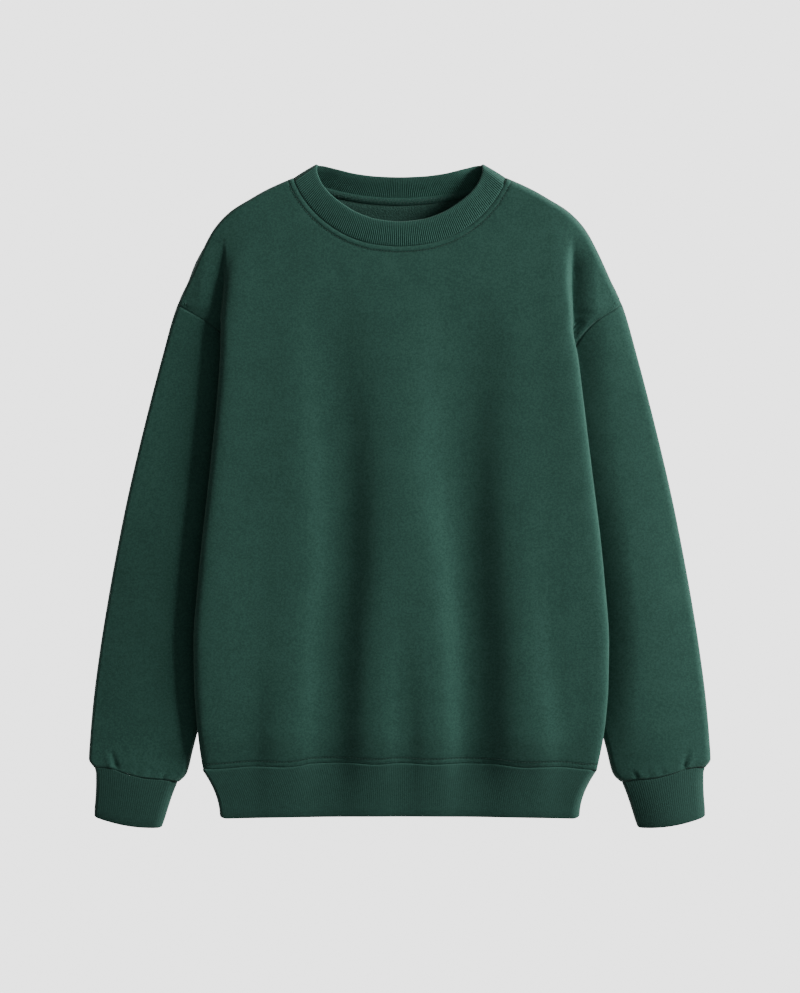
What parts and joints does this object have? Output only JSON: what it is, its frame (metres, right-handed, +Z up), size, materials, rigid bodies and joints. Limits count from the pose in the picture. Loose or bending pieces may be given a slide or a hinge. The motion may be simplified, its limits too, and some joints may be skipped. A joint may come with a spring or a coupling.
{
  "type": "crewneck sweatshirt",
  "caption": "Long-sleeved crewneck sweatshirt laid flat on its back, with ribbed collar, cuffs and hem and soft folds down the front.",
  "frame": {"origin": "centre of the garment's outline, on the surface that it lies on", "axes": "+X across the garment towards the sleeve on the right of the picture, +Y from the hem to the neck, +Z up from the surface, out of the front"},
  "size_m": [0.6796, 0.7231, 0.0262],
  "materials": {
    "fleece": "brushed loopback cotton fleece, matt",
    "rib": "1x1 rib knit, matt",
    "tape": "narrow woven tape with a chain stitch"
  },
  "bodies": {
    "root": {"front_panel": "fleece", "back_panel": "fleece", "sleeve_left": "fleece", "sleeve_right": "fleece", "collar": "rib", "neck_tape": "tape", "hem_rib": "rib", "cuff_left": "rib", "cuff_right": "rib"}
  },
  "joints": []
}
